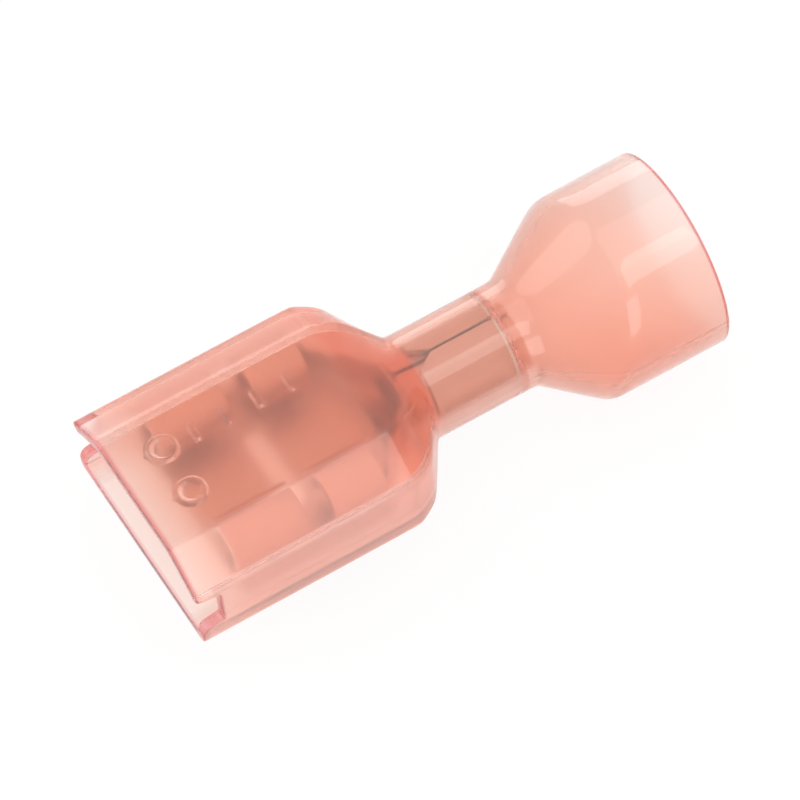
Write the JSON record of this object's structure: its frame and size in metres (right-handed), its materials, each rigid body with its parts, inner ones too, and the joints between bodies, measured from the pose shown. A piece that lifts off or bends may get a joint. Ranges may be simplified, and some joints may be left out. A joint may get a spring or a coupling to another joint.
{
  "type": "female spade terminal",
  "caption": "Fully insulated female spade terminal: translucent flared nylon housing over a rolled tab receptacle with a wire barrel and crimp sleeve.",
  "frame": {"origin": "centre of the wire funnel's rim, on the wire axis", "axes": "+X along the wire axis from the wire entry to the tab mouth, +Z towards the flat roof of the box, +Y across the box"},
  "size_m": [0.0226, 0.0092, 0.0078],
  "materials": {
    "nylon": "translucent salmon-pink nylon, moulded, semi-gloss",
    "tinned_brass": "thinly tin-plated brass strip, satin, a little warm",
    "tinned_copper": "tin-plated copper sleeve, satin"
  },
  "bodies": {
    "root": {"housing": "nylon", "receptacle": "tinned_brass", "crimp_sleeve": "tinned_copper"}
  },
  "joints": []
}
